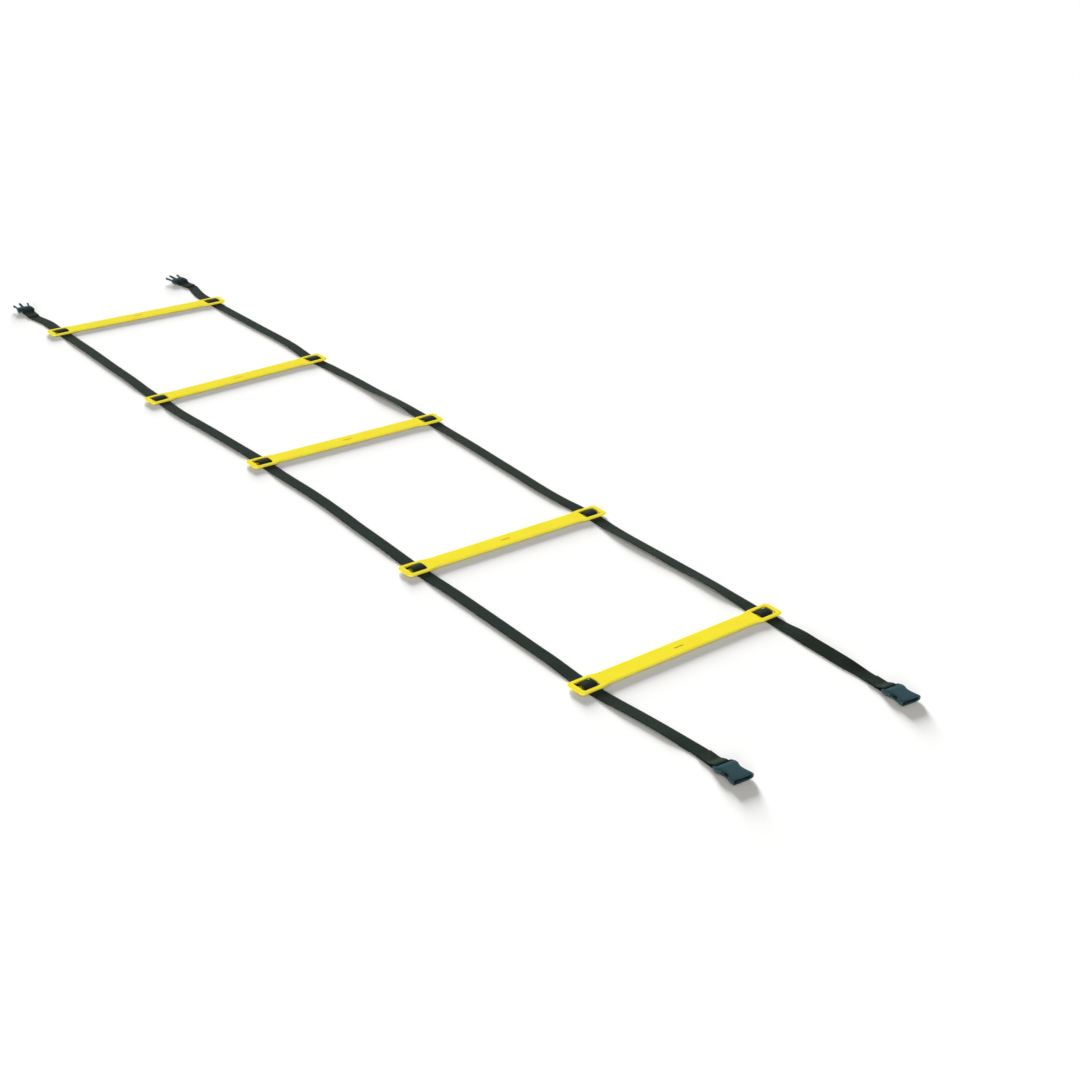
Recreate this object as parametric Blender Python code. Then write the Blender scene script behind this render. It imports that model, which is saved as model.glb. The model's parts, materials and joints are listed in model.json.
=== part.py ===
"""Agility ladder, lying flat on the ground.

Five flat moulded rungs are laced onto two webbing straps. Each strap is sewn round the male half
of a side release buckle at the far end and round the female half at the near end.
X runs along the rungs, +Y towards the far end, Z is up from the ground. All sizes are in metres.
"""
from math import atan2, cos, pi, radians, sin

import bmesh
import bpy
from mathutils import Matrix, Vector

# Driving dimensions of the ladder
rung_length = 0.418
rung_width = 0.039
rung_thickness = 0.0036
bay_1 = 0.462
bay_2 = 0.402
bay_3 = 0.519
bay_4 = 0.451
strap_width = 0.025
strap_thickness = 0.0015
left_far_tail = 0.172
right_far_tail = 0.161
left_near_tail = 0.2795
right_near_tail = 0.2735
fit_gap = 0.0003

# Rung: narrower between its ends. Each end has a window for the strap, with a low bar across it
# that the strap climbs over
rung_middle_width = 0.032
rung_corner = 0.007
rung_edge_round = 0.0006
head_length = 0.040
head_ease = 0.020
head_steps = 5
window_span = 0.026
window_play = 0.007
window_corner = 0.003
window_flare = 0.0009
end_border = 0.0093
bar_width = 0.009
bar_thickness = 0.0015
bar_raise = 0.0002
bar_root = 0.001
lacing_overhang = 0.0015
climb_start = 0.0007
cut_overrun = 0.002

# Webbing
strap_edge = 0.0009
strap_edge_share = 0.3
loop_reach = 0.045
sewn_length = 0.038
loop_closes = 0.014
loop_rise = 0.008

# Buckles, both halves for the same webbing
slot_play = 0.0025
frame_wall = 0.004
frame_slot = 0.007
strap_bar_radius = 0.002
buckle_thickness = 0.0095
female_length = 0.0445
bar_end = 0.003
socket_height = 0.0055
channel_height = 0.0042
channel_width = 0.0115
channel_flank = 0.001
socket_depth = 0.0285
latch_window_length = 0.015
latch_window_height = 0.0068
latch_window_depth = 0.0065
male_thickness = 0.008
male_base = 0.016
tongue_length = 0.028
tongue_width = 0.0056
tongue_thickness = 0.0034
tongue_root = 0.004
arm_length = 0.0212
arm_thickness = 0.0046
arm_width = 0.003
arm_edge = 0.0005
arm_root_inset = 0.0052

# How the ladder lies: each rung's turn and its sideways place in strap widths
rung_turns_deg = (-1.0, 2.8, -0.9, 0.0, 1.6)
rung_shift_shares = (-0.16, -0.26, 0.26, -0.06, -0.20)
# Sideways wander of each strap at a quarter, half and three quarters of each bay, in strap widths
quarter_shares = (0.25, 0.5, 0.75)
left_wander_shares = ((-0.04, -0.05, -0.02), (-0.21, -0.13, -0.07), (0.13, 0.05, 0.04), (0.0, -0.02, -0.05))
right_wander_shares = ((0.09, 0.18, 0.18), (0.26, 0.25, 0.14), (-0.01, -0.13, -0.21), (-0.12, -0.01, 0.11))
# Sideways swing of each tail, at its middle and at its buckle, in strap widths
left_far_swing_shares = (0.07, -0.17)
right_far_swing_shares = (0.20, 0.34)
left_near_swing_shares = (0.42, 0.65)
right_near_swing_shares = (-0.04, -0.32)
# Place of each strap in its windows, and of each buckle on its strap, in strap widths towards +X
left_window_share = 0.0
right_window_share = -0.09
left_male_share = -0.08
left_female_share = 0.08
right_male_share = 0.0
right_female_share = 0.08
# Tilt of each strap run about its own length, with the +X edge up, for the far and near run of each rung
left_tilts_deg = ((3, 2), (5, -3), (-2, 3), (2, -2), (-3, -9))
right_tilts_deg = ((-4, 2), (-3, 3), (-18, 2), (3, -2), (-14, 10))
# Turn of each buckle about the vertical
male_turns_deg = {"left": -2, "right": 10}
female_turns_deg = {"left": -3, "right": -4}
male_lift_deg = 6
run_steps = 8

# The straps fold on a line across each bay, measured from the far rung as a share of the bay
fold_shares = (0.459, 0.5025, 0.528, 0.501)
first_fold_height = 0.0075
fold_layer = 0.0035

# Outlines of the buckle halves: place along the body as a share of its length from the strap bar,
# half width as a share of half the frame width, thickness as a share of the full thickness
female_outline_shares = (
    (-0.067, 0.87, 0.50), (-0.02, 0.93, 0.64), (0.06, 0.98, 0.82), (0.15, 1.0, 0.94),
    (0.25, 0.975, 1.0), (0.36, 0.89, 1.0), (0.48, 0.83, 1.0), (0.60, 0.835, 1.0),
    (0.76, 0.90, 1.0), (0.90, 0.97, 0.98), (0.97, 0.985, 0.95), (1.0, 0.96, 0.89),
)
male_outline_shares = (
    (-0.187, 0.93, 0.50), (-0.07, 0.985, 0.68), (0.15, 1.0, 0.86), (0.44, 0.98, 1.0),
    (0.75, 0.91, 1.0), (1.0, 0.84, 0.90),
)
socket_outline_shares = ((0.0, 0.70), (0.36, 0.70), (0.545, 0.81), (0.86, 0.84), (1.07, 0.86))
tongue_outline_shares = ((0.0, 1.0, 1.0), (0.75, 0.86, 1.0), (0.93, 0.62, 0.9), (1.0, 0.25, 0.6))
# Latch arm, as seen from above: inner edge out to the tip, then outer edge back to the root,
# as shares of the arm's length and of its width at the root
arm_outline_shares = (
    (0.0, -0.5), (0.25, -0.44), (0.45, -0.25), (0.62, 0.0), (0.82, 0.28), (0.97, 0.45),
    (1.0, 0.66), (0.96, 0.92), (0.86, 1.22), (0.76, 1.4), (0.68, 1.42), (0.645, 1.3),
    (0.635, 0.5), (0.30, 0.5), (0.0, 0.5),
)

# Sizes worked out from the ones above
rung_bottom = strap_thickness + fit_gap
rung_top = rung_bottom + rung_thickness
bar_bottom = rung_bottom + bar_raise
window_length = strap_width + window_play
window_offset = rung_length / 2 - end_border - window_length / 2
lacing_reach = rung_width / 2 + lacing_overhang
hump_height = bar_bottom + bar_thickness + fit_gap
slot_width = strap_width + 2 * slot_play
frame_width = slot_width + 2 * frame_wall
loop_radius = strap_bar_radius + fit_gap + strap_thickness / 2
female_bar_height = buckle_thickness / 2
male_bar_height = loop_radius + strap_thickness / 2
arm_root_offset = frame_width / 2 - arm_root_inset

bays = (bay_1, bay_2, bay_3, bay_4)
far_tip = max(left_far_tail, right_far_tail) + male_base + tongue_length
near_tip = -(sum(bays) + max(left_near_tail, right_near_tail) + female_length)
middle = (far_tip + near_tip) / 2
rung_places = [-sum(bays[:number]) - middle for number in range(len(bays) + 1)]
fold_places = [rung_places[n] - bays[n] * fold_shares[n] for n in range(len(bays))]
fold_heights = [first_fold_height + fold_layer * n for n in range(len(bays))]

sides = {
    "left": {
        "sign": -1, "wander": left_wander_shares, "tilts": left_tilts_deg,
        "far_tail": left_far_tail, "near_tail": left_near_tail,
        "far_swing": left_far_swing_shares, "near_swing": left_near_swing_shares,
        "window": left_window_share, "male": left_male_share, "female": left_female_share,
    },
    "right": {
        "sign": 1, "wander": right_wander_shares, "tilts": right_tilts_deg,
        "far_tail": right_far_tail, "near_tail": right_near_tail,
        "far_swing": right_far_swing_shares, "near_swing": right_near_swing_shares,
        "window": right_window_share, "male": right_male_share, "female": right_female_share,
    },
}


def make_material(name, color, roughness):
    material = bpy.data.materials.new(name)
    material.use_nodes = True
    material.diffuse_color = color
    shader = material.node_tree.nodes["Principled BSDF"]
    shader.inputs["Base Color"].default_value = color
    shader.inputs["Roughness"].default_value = roughness
    shader.inputs["Metallic"].default_value = 0.0
    return material


def make_empty(name, place, parent=None):
    """An empty on a joint's axis, which carries the pieces that move with it."""
    empty = bpy.data.objects.new(name, None)
    bpy.context.collection.objects.link(empty)
    set_parent(empty, parent, Matrix.Translation(place))
    return empty


def set_parent(item, parent, matrix):
    item.parent = parent
    item.matrix_world = matrix
    if parent:
        item.matrix_parent_inverse = Matrix.Identity(4)
        item.matrix_basis = world_matrix(parent).inverted() @ matrix


def world_matrix(item):
    return world_matrix(item.parent) @ item.matrix_basis if item.parent else item.matrix_basis


def make_piece(name, mesh, material, parent, matrix):
    piece = bpy.data.objects.new(name, mesh)
    bpy.context.collection.objects.link(piece)
    if not mesh.materials:
        mesh.materials.append(material)
    set_parent(piece, parent, matrix)
    return piece


def to_mesh(shape, name, smooth_angle_deg=35):
    bmesh.ops.recalc_face_normals(shape, faces=shape.faces)
    mesh = bpy.data.meshes.new(name)
    shape.to_mesh(mesh)
    shape.free()
    mesh.shade_smooth()
    mesh.set_sharp_from_angle(angle=radians(smooth_angle_deg))
    return mesh


def loft(shape, rings):
    """A closed skin through rings of equally many points."""
    loops = [[shape.verts.new(point) for point in ring] for ring in rings]
    count = len(loops[0])
    for loop, following in zip(loops, loops[1:]):
        for n in range(count):
            m = (n + 1) % count
            shape.faces.new((loop[n], loop[m], following[m], following[n]))
    shape.faces.new(reversed(loops[0]))
    shape.faces.new(loops[-1])


def rounded_outline(length, width, radius, steps):
    """Corner arcs of a rectangle centred on the origin, anticlockwise."""
    points = []
    for corner, (side, end) in enumerate(((1, 1), (-1, 1), (-1, -1), (1, -1))):
        centre = Vector((side * (length / 2 - radius), end * (width / 2 - radius)))
        for step in range(steps + 1):
            angle = pi / 2 * (corner + step / steps)
            points.append(centre + radius * Vector((cos(angle), sin(angle))))
    return points


def cut_and_join(mesh, cutters, additions):
    """The mesh with the cutters taken out of it and the additions fused to it."""
    body = bpy.data.objects.new("body", mesh)
    helpers = []
    bpy.context.collection.objects.link(body)
    for meshes, operation in ((cutters, "DIFFERENCE"), (additions, "UNION")):
        for other in meshes:
            helper = bpy.data.objects.new("helper", other)
            helper.hide_render = True
            helper.display_type = "WIRE"
            bpy.context.collection.objects.link(helper)
            helpers.append(helper)
            modifier = body.modifiers.new(operation, "BOOLEAN")
            modifier.operation = operation
            modifier.solver = "EXACT"
            modifier.object = helper
    evaluated = body.evaluated_get(bpy.context.evaluated_depsgraph_get())
    result = bpy.data.meshes.new_from_object(evaluated)
    for item in helpers + [body]:
        bpy.data.objects.remove(item)
    result.materials.clear()
    return result


# Webbing

def webbing_ring(centre, across, up):
    """Cross-section of the webbing: a flat band with thinner edges."""
    half, rise = strap_width / 2, strap_thickness / 2
    inner, low = half - strap_edge, rise * strap_edge_share
    outline = (
        (-half, -low), (-inner, -rise), (inner, -rise), (half, -low),
        (half, low), (inner, rise), (-inner, rise), (-half, low),
    )
    return [centre + across * x + up * z for x, z in outline]


def folded_strap(name, path):
    """Webbing that follows a path of (y, z) points and stays level from edge to edge."""
    shape = bmesh.new()
    rings = []
    for n, (y, z) in enumerate(path):
        before, after = path[max(n - 1, 0)], path[min(n + 1, len(path) - 1)]
        angle = atan2(after[1] - before[1], after[0] - before[0])
        up = Vector((0, -sin(angle), cos(angle)))
        rings.append(webbing_ring(Vector((0, y, z)), Vector((1, 0, 0)), up))
    loft(shape, rings)
    return to_mesh(shape, name)


def ease(share):
    return share * share * (3 - 2 * share)


def lacing_mesh():
    """Webbing under one long border, over the bar in the window, and under the other border."""
    low = strap_thickness / 2
    high = hump_height + strap_thickness / 2
    outer = window_span / 2 - climb_start
    inner = bar_width / 2 + climb_start
    climb = [(outer + (inner - outer) * n / 6, low + (high - low) * ease(n / 6)) for n in range(7)]
    half = [(lacing_reach, low)] + climb
    path = [(-y, z) for y, z in half] + list(reversed(half))
    return folded_strap("lacing", path)


def bar_loop_mesh(bar_height):
    """Strap end folded round a buckle's bar and laid back on itself, where it is sewn."""
    low = strap_thickness / 2
    high = strap_thickness + fit_gap + low
    path = [(-loop_reach, low), (-loop_rise, low)]
    bottom, top = bar_height - loop_radius, bar_height + loop_radius
    for n in range(1, 3):
        path.append((-loop_rise * (1 - n / 3), low + (bottom - low) * ease(n / 3)))
    for n in range(9):
        angle = -pi / 2 + pi * n / 8
        path.append((loop_radius * cos(angle), bar_height + loop_radius * sin(angle)))
    for n in range(1, 7):
        path.append((-loop_closes * n / 6, top + (high - top) * ease(n / 6)))
    path.append((-sewn_length, high))
    return folded_strap("bar_loop", path)


def smooth_through(knots, y):
    """Sideways place at y on a smooth curve through (y, x) knots."""
    knots = sorted(knots)
    last = len(knots) - 1
    slopes = []
    for n in range(last + 1):
        before, after = knots[max(n - 1, 0)], knots[min(n + 1, last)]
        slopes.append((after[1] - before[1]) / (after[0] - before[0]))
    n = max(k for k in range(last) if k == 0 or knots[k][0] <= y)
    span = knots[n + 1][0] - knots[n][0]
    s = (y - knots[n][0]) / span
    return (
        knots[n][1] * (1 - ease(s)) + knots[n + 1][1] * ease(s)
        + span * (slopes[n] * s * (1 - s) ** 2 - slopes[n + 1] * s * s * (1 - s))
    )


def strap_run_mesh(name, start, start_turn, end, end_turn, knots, tilt):
    """Free webbing from one cut to the next, with its low edge on the ground."""
    shape = bmesh.new()
    rings = []
    for step in range(run_steps + 1):
        share = step / run_steps
        y = start.y + (end.y - start.y) * share
        turn = start_turn + (end_turn - start_turn) * ease(share)
        lean = tilt * sin(pi * share) ** 2
        across = Vector((cos(turn) * cos(lean), sin(turn) * cos(lean), sin(lean)))
        up = Vector((-cos(turn) * sin(lean), -sin(turn) * sin(lean), cos(lean)))
        ring = webbing_ring(Vector((smooth_through(knots, y), y, 0)), across, up)
        lift = Vector((0, 0, -min(point.z for point in ring)))
        rings.append([point + lift for point in ring])
    loft(shape, rings)
    return to_mesh(shape, name)


def lacing_point(side, number, reach):
    """Point on the strap where it crosses a rung, reach away from the rung's middle line."""
    turn = radians(rung_turns_deg[number])
    across = side["sign"] * window_offset + side["window"] * strap_width
    x = rung_shift_shares[number] * strap_width + across * cos(turn) - reach * sin(turn)
    return Vector((x, rung_places[number] + across * sin(turn) + reach * cos(turn), 0))


def bay_knots(side, number):
    """Knots of a strap between rung number and the next one."""
    far = lacing_point(side, number, -lacing_reach - fit_gap)
    near = lacing_point(side, number + 1, lacing_reach + fit_gap)
    knots = [(far.y, far.x), (near.y, near.x)]
    for share, wander in zip(quarter_shares, side["wander"][number]):
        place = far.lerp(near, share)
        knots.append((place.y, place.x + wander * strap_width))
    return knots


def bar_point(side, end):
    """Middle of a buckle's strap bar, on the ground."""
    number = 0 if end == "far" else len(bays)
    root = lacing_point(side, number, 0)
    direction = 1 if end == "far" else -1
    x = root.x + side[end + "_swing"][1] * strap_width
    return Vector((x, rung_places[number] + direction * side[end + "_tail"], 0))


def tail_run(name, side, end, turn_deg, tilt):
    """Webbing from the end rung to the loop at the buckle."""
    number = 0 if end == "far" else len(bays)
    direction = 1 if end == "far" else -1
    start = lacing_point(side, number, direction * (lacing_reach + fit_gap))
    turn = radians(turn_deg)
    bar = bar_point(side, end)
    along = direction * Vector((-sin(turn), cos(turn), 0))
    finish = bar - along * (loop_reach + fit_gap)
    halfway = start.lerp(finish, 0.5)
    halfway.x = start.x + side[end + "_swing"][0] * strap_width
    knots = [(point.y, point.x) for point in (start, halfway, finish)]
    return strap_run_mesh(name, start, radians(rung_turns_deg[number]), finish, turn, knots, tilt)


# Rungs

def rung_outline():
    """Rounded ends at full width, which narrow in a smooth S to the middle of the rung."""
    corner_steps = 4
    corners = rounded_outline(rung_length, rung_width, rung_corner, corner_steps)
    half, middle_half = rung_width / 2, rung_middle_width / 2
    narrowing = []
    for step in range(head_steps + 1):
        share = step / head_steps
        x = rung_length / 2 - head_length - head_ease * share
        narrowing.append(Vector((x, half + (middle_half - half) * ease(share))))
    long_edge = narrowing + [Vector((-x, y)) for x, y in reversed(narrowing)]
    arc = corner_steps + 1
    return (
        corners[:arc] + long_edge + corners[arc:3 * arc]
        + [-point for point in long_edge] + corners[3 * arc:]
    )


def rung_mesh():
    """Flat plate with a window at each end and a low bar across each window."""
    shape = bmesh.new()
    outline = rung_outline()
    face = shape.faces.new([shape.verts.new((x, y, rung_bottom)) for x, y in outline])
    grown = bmesh.ops.extrude_face_region(shape, geom=[face])["geom"]
    raised = [item for item in grown if isinstance(item, bmesh.types.BMVert)]
    bmesh.ops.translate(shape, verts=raised, vec=(0, 0, rung_thickness))
    rims = [edge for edge in shape.edges if abs(edge.verts[0].co.z - edge.verts[1].co.z) < fit_gap]
    bmesh.ops.bevel(
        shape, geom=rims, offset=rung_edge_round, affect="EDGES", segments=1, profile=0.5, material=-1
    )
    plate = to_mesh(shape, "plate")
    cutters, bars = [], []
    for sign in (-1, 1):
        centre = Vector((sign * window_offset, 0, 0))
        cutters.append(window_cutter(centre))
        bars.append(window_bar(centre))
    result = cut_and_join(plate, cutters, bars)
    result.name = "rung"
    return result


def window_cutter(centre):
    """Straight through hole whose upper rim flares."""
    levels = (
        (rung_bottom - cut_overrun, 0),
        (rung_top - window_flare, 0),
        (rung_top + cut_overrun, window_flare + cut_overrun),
    )
    shape = bmesh.new()
    rings = []
    for z, spread in levels:
        outline = rounded_outline(
            window_length + 2 * spread, window_span + 2 * spread, window_corner + spread, 3
        )
        rings.append([centre + Vector((x, y, z)) for x, y in outline])
    loft(shape, rings)
    return to_mesh(shape, "window")


def window_bar(centre):
    shape = bmesh.new()
    size = Vector((window_length + 2 * bar_root, bar_width, bar_thickness))
    place = centre + Vector((0, 0, bar_bottom + bar_thickness / 2))
    bmesh.ops.create_cube(shape, size=1, matrix=Matrix.LocRotScale(place, None, size))
    return to_mesh(shape, "window_bar")


# Buckles, drawn with the strap bar on the X axis and the free end towards +Y

def lens_ring(y, half_width, half_height):
    """Flattened moulding cross-section with well rounded sides."""
    outline_shares = (
        (1.0, 0.0), (0.97, 0.55), (0.86, 0.9), (0.6, 1.0), (-0.6, 1.0), (-0.86, 0.9), (-0.97, 0.55),
        (-1.0, 0.0), (-0.97, -0.55), (-0.86, -0.9), (-0.6, -1.0), (0.6, -1.0), (0.86, -0.9), (0.97, -0.55),
    )
    return [Vector((half_width * x, y, half_height * z)) for x, z in outline_shares]


def lofted_body(name, outline_shares, length, width, thickness):
    shape = bmesh.new()
    rings = [
        lens_ring(length * place, width / 2 * wide, thickness / 2 * thick)
        for place, wide, thick in outline_shares
    ]
    loft(shape, rings)
    return to_mesh(shape, name)


def box_mesh(name, low, high):
    shape = bmesh.new()
    low, high = Vector(low), Vector(high)
    bmesh.ops.create_cube(shape, size=1, matrix=Matrix.LocRotScale((low + high) / 2, None, high - low))
    return to_mesh(shape, name)


def strap_slot():
    """Room for the webbing between the side walls of a buckle's frame."""
    deep = buckle_thickness
    return box_mesh(
        "slot", (-slot_width / 2, -bar_end - cut_overrun, -deep), (slot_width / 2, frame_slot, deep)
    )


def strap_bar():
    """Round bar between the side walls, which the strap end turns on."""
    shape = bmesh.new()
    turn = Matrix.Rotation(pi / 2, 4, "Y")
    bmesh.ops.create_cone(
        shape, cap_ends=True, segments=16, radius1=strap_bar_radius, radius2=strap_bar_radius,
        depth=slot_width + frame_wall, matrix=turn,
    )
    return to_mesh(shape, "strap_bar")


def socket_mesh():
    """Room for the male half: high channels for the arms, a lower one between them for the tongue."""
    shape = bmesh.new()
    start = female_length - socket_depth
    high, low = socket_height / 2, channel_height / 2
    inner, outer = channel_width / 2, channel_width / 2 + channel_flank
    rings = []
    for place, wide in socket_outline_shares:
        y = start + socket_depth * place
        half = frame_width / 2 * wide
        outline = (
            (-half, -high), (-outer, -high), (-inner, -low), (inner, -low), (outer, -high), (half, -high),
            (half, high), (outer, high), (inner, low), (-inner, low), (-outer, high), (-half, high),
        )
        rings.append([Vector((x, y, z)) for x, z in outline])
    loft(shape, rings)
    return to_mesh(shape, "socket")


def female_mesh():
    """Waisted sleeve with an open mouth, a latch window in each side and a strap bar."""
    body = lofted_body(
        "female_body", female_outline_shares, female_length, frame_width, buckle_thickness
    )
    start = female_length - socket_depth + fit_gap
    end = start + latch_window_length
    rise = latch_window_height / 2
    outer, inner = frame_width, frame_width / 2 - latch_window_depth
    windows = [
        box_mesh("latch_window", (-outer, start, -rise), (-inner, end, rise)),
        box_mesh("latch_window", (inner, start, -rise), (outer, end, rise)),
    ]
    result = cut_and_join(body, [strap_slot(), socket_mesh()] + windows, [strap_bar()])
    result.name = "female_buckle"
    return result


def male_mesh():
    """Frame with a strap bar, and the long tongue that guides it into the socket."""
    body = lofted_body("male_body", male_outline_shares, male_base, frame_width, male_thickness)
    tongue = bmesh.new()
    start = male_base - tongue_root
    rings = []
    for place, wide, thick in tongue_outline_shares:
        y = start + (tongue_root + tongue_length) * place
        rings.append(lens_ring(y, tongue_width / 2 * wide, tongue_thickness / 2 * thick))
    loft(tongue, rings)
    result = cut_and_join(body, [strap_slot()], [strap_bar(), to_mesh(tongue, "tongue")])
    result.name = "male_buckle"
    return result


def arm_mesh(sign):
    """Springy latch arm, drawn from the middle of its root, with its hooked head outwards."""
    shape = bmesh.new()
    low = -arm_thickness / 2
    points = [(sign * arm_width * out, arm_length * along) for along, out in arm_outline_shares]
    face = shape.faces.new([shape.verts.new((x, y, low)) for x, y in points])
    grown = bmesh.ops.extrude_face_region(shape, geom=[face])["geom"]
    raised = [item for item in grown if isinstance(item, bmesh.types.BMVert)]
    bmesh.ops.translate(shape, verts=raised, vec=(0, 0, arm_thickness))
    rims = [
        edge for edge in shape.edges
        if abs(edge.verts[0].co.z - edge.verts[1].co.z) < arm_edge
        and max(vert.co.y for vert in edge.verts) > arm_edge
    ]
    bmesh.ops.bevel(
        shape, geom=rims, offset=arm_edge, affect="EDGES", segments=1, profile=0.5, material=-1
    )
    return to_mesh(shape, "arm", 50)


# Build the ladder

for item in list(bpy.data.objects):
    bpy.data.objects.remove(item, do_unlink=True)

yellow_plastic = make_material("yellow_plastic", (0.90, 0.76, 0.035, 1), 0.38)
webbing = make_material("webbing", (0.017, 0.030, 0.026, 1), 0.85)
buckle_plastic = make_material("buckle_plastic", (0.020, 0.036, 0.050, 1), 0.34)

# Sections of strap, each carried by the next one towards the near end
sections = [None] * (len(bays) + 1)
sections[-1] = make_empty("section_5_origin", (0, 0, 0))
for n in reversed(range(len(bays))):
    axis_place = (0, fold_places[n], fold_heights[n])
    sections[n] = make_empty(f"section_{n + 1}_fold_axis", axis_place, sections[n + 1])

# Rungs and the webbing laced through them
one_rung = rung_mesh()
one_lacing = lacing_mesh()
for n, section in enumerate(sections):
    slide = make_empty(f"rung_{n + 1}_slide", (0, rung_places[n], 0), section)
    place = Vector((rung_shift_shares[n] * strap_width, rung_places[n], 0))
    matrix = Matrix.Translation(place) @ Matrix.Rotation(radians(rung_turns_deg[n]), 4, "Z")
    make_piece(f"rung_{n + 1}", one_rung, yellow_plastic, slide, matrix)
    for label, side in sides.items():
        across = side["sign"] * window_offset + side["window"] * strap_width
        at_window = Matrix.Translation((across, 0, 0))
        make_piece(f"{label}_lacing_{n + 1}", one_lacing, webbing, slide, matrix @ at_window)

# Free webbing between the rungs, cut on the fold lines, and the two tails
for label, side in sides.items():
    for n, section in enumerate(sections):
        turn = radians(rung_turns_deg[n])
        far_tilt, near_tilt = (radians(angle) for angle in side["tilts"][n])
        if n == 0:
            far_mesh = tail_run("far_tail", side, "far", male_turns_deg[label], far_tilt)
        else:
            start = lacing_point(side, n, lacing_reach + fit_gap)
            end = Vector((0, fold_places[n - 1] - fit_gap / 2, 0))
            far_mesh = strap_run_mesh(
                "far_run", start, turn, end, 0, bay_knots(side, n - 1), far_tilt
            )
        if n == len(bays):
            near_mesh = tail_run("near_tail", side, "near", female_turns_deg[label], near_tilt)
        else:
            start = lacing_point(side, n, -lacing_reach - fit_gap)
            end = Vector((0, fold_places[n] + fit_gap / 2, 0))
            near_mesh = strap_run_mesh(
                "near_run", start, turn, end, 0, bay_knots(side, n), near_tilt
            )
        in_place = Matrix.Identity(4)
        make_piece(f"{label}_strap_{n + 1}_far", far_mesh, webbing, section, in_place)
        make_piece(f"{label}_strap_{n + 1}_near", near_mesh, webbing, section, in_place)

# Buckle halves on the strap ends
male_body = male_mesh()
female_body = female_mesh()
male_loop = bar_loop_mesh(male_bar_height)
female_loop = bar_loop_mesh(female_bar_height)
arms = {-1: arm_mesh(-1), 1: arm_mesh(1)}
for label, side in sides.items():
    turn = Matrix.Rotation(radians(male_turns_deg[label]), 4, "Z")
    on_ground = Matrix.Translation(bar_point(side, "far")) @ turn
    make_piece(f"{label}_male_loop", male_loop, webbing, sections[0], on_ground)
    lift = Matrix.Rotation(radians(male_lift_deg), 4, "X")
    across = side["male"] * strap_width
    on_bar = on_ground @ Matrix.Translation((across, 0, male_bar_height)) @ lift
    male = make_piece(f"{label}_male_buckle", male_body, buckle_plastic, sections[0], on_bar)
    for sign, arm in arms.items():
        place = "outer" if sign == side["sign"] else "inner"
        root = Matrix.Translation((sign * arm_root_offset, male_base + fit_gap, 0))
        make_piece(f"{label}_male_arm_{place}", arm, buckle_plastic, male, on_bar @ root)

    turn = Matrix.Rotation(radians(female_turns_deg[label]) + pi, 4, "Z")
    on_ground = Matrix.Translation(bar_point(side, "near")) @ turn
    make_piece(f"{label}_female_loop", female_loop, webbing, sections[-1], on_ground)
    across = -side["female"] * strap_width
    on_bar = on_ground @ Matrix.Translation((across, 0, female_bar_height))
    make_piece(f"{label}_female_buckle", female_body, buckle_plastic, sections[-1], on_bar)
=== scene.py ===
"""Agility ladder on a pale studio floor.

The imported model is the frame: every moulding and every length of webbing here is set on it.
All sizes are in metres, in the frame's axes: +Y runs towards the far end, Z is up from the ground.
"""
import json
from math import asin, copysign, cos, dist, pi, radians, sin, tan, tau

import bmesh
import bpy
import numpy as np
from mathutils import Matrix, Vector


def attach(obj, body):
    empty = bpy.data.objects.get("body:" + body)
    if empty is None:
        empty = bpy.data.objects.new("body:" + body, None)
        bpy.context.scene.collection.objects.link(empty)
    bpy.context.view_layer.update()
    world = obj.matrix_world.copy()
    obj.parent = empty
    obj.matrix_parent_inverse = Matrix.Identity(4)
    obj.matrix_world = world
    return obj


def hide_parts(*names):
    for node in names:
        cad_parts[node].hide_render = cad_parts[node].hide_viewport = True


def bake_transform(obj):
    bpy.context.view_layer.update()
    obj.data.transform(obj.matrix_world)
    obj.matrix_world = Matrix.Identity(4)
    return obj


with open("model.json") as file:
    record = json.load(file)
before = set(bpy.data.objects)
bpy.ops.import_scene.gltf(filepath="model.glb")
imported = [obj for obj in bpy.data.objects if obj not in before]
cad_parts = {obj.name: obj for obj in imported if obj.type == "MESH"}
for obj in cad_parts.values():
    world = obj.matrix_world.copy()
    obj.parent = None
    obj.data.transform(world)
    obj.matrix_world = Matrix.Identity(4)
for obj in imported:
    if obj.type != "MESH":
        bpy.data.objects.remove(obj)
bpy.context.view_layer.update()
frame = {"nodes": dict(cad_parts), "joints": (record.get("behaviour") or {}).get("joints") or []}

# The studio. A pale floor without a horizon, an even white surround, one low, broad light far behind
# the ladder, so that its soft shadows fall towards the camera, and a weak warm one from the left front.
camera_place = (-1.6751, -2.6540, 1.3927)
camera_turns_deg = (63.602, -1.012, -37.247)
camera_lens_mm = 60.97
camera_shift = 0.0053
camera_clip_start = 0.01
floor_half_size = 40.0
floor_cells = 8
floor_drop = 0.0004
floor_white = (0.86, 0.86, 0.86, 1)
floor_roughness = 0.95
surround_strength = 0.33
lights = {
    # where it shines from, its height and spread in degrees, strength, colour, and whether gloss shows it
    "back_light": ((0.46, 0.89), 9, 14, 14.6, (1.0, 1.0, 1.0), False),
    "front_light": ((-0.75, -0.66), 8, 26, 3.1, (1.0, 0.97, 0.84), True),
}

lens = bpy.data.cameras.new("camera")
lens.lens = camera_lens_mm
lens.shift_x = camera_shift
lens.clip_start = camera_clip_start
camera = bpy.data.objects.new("camera", lens)
camera.location = camera_place
camera.rotation_euler = [radians(angle) for angle in camera_turns_deg]
bpy.context.collection.objects.link(camera)
bpy.context.scene.camera = camera
bpy.context.scene.view_settings.view_transform = "Standard"

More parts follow.
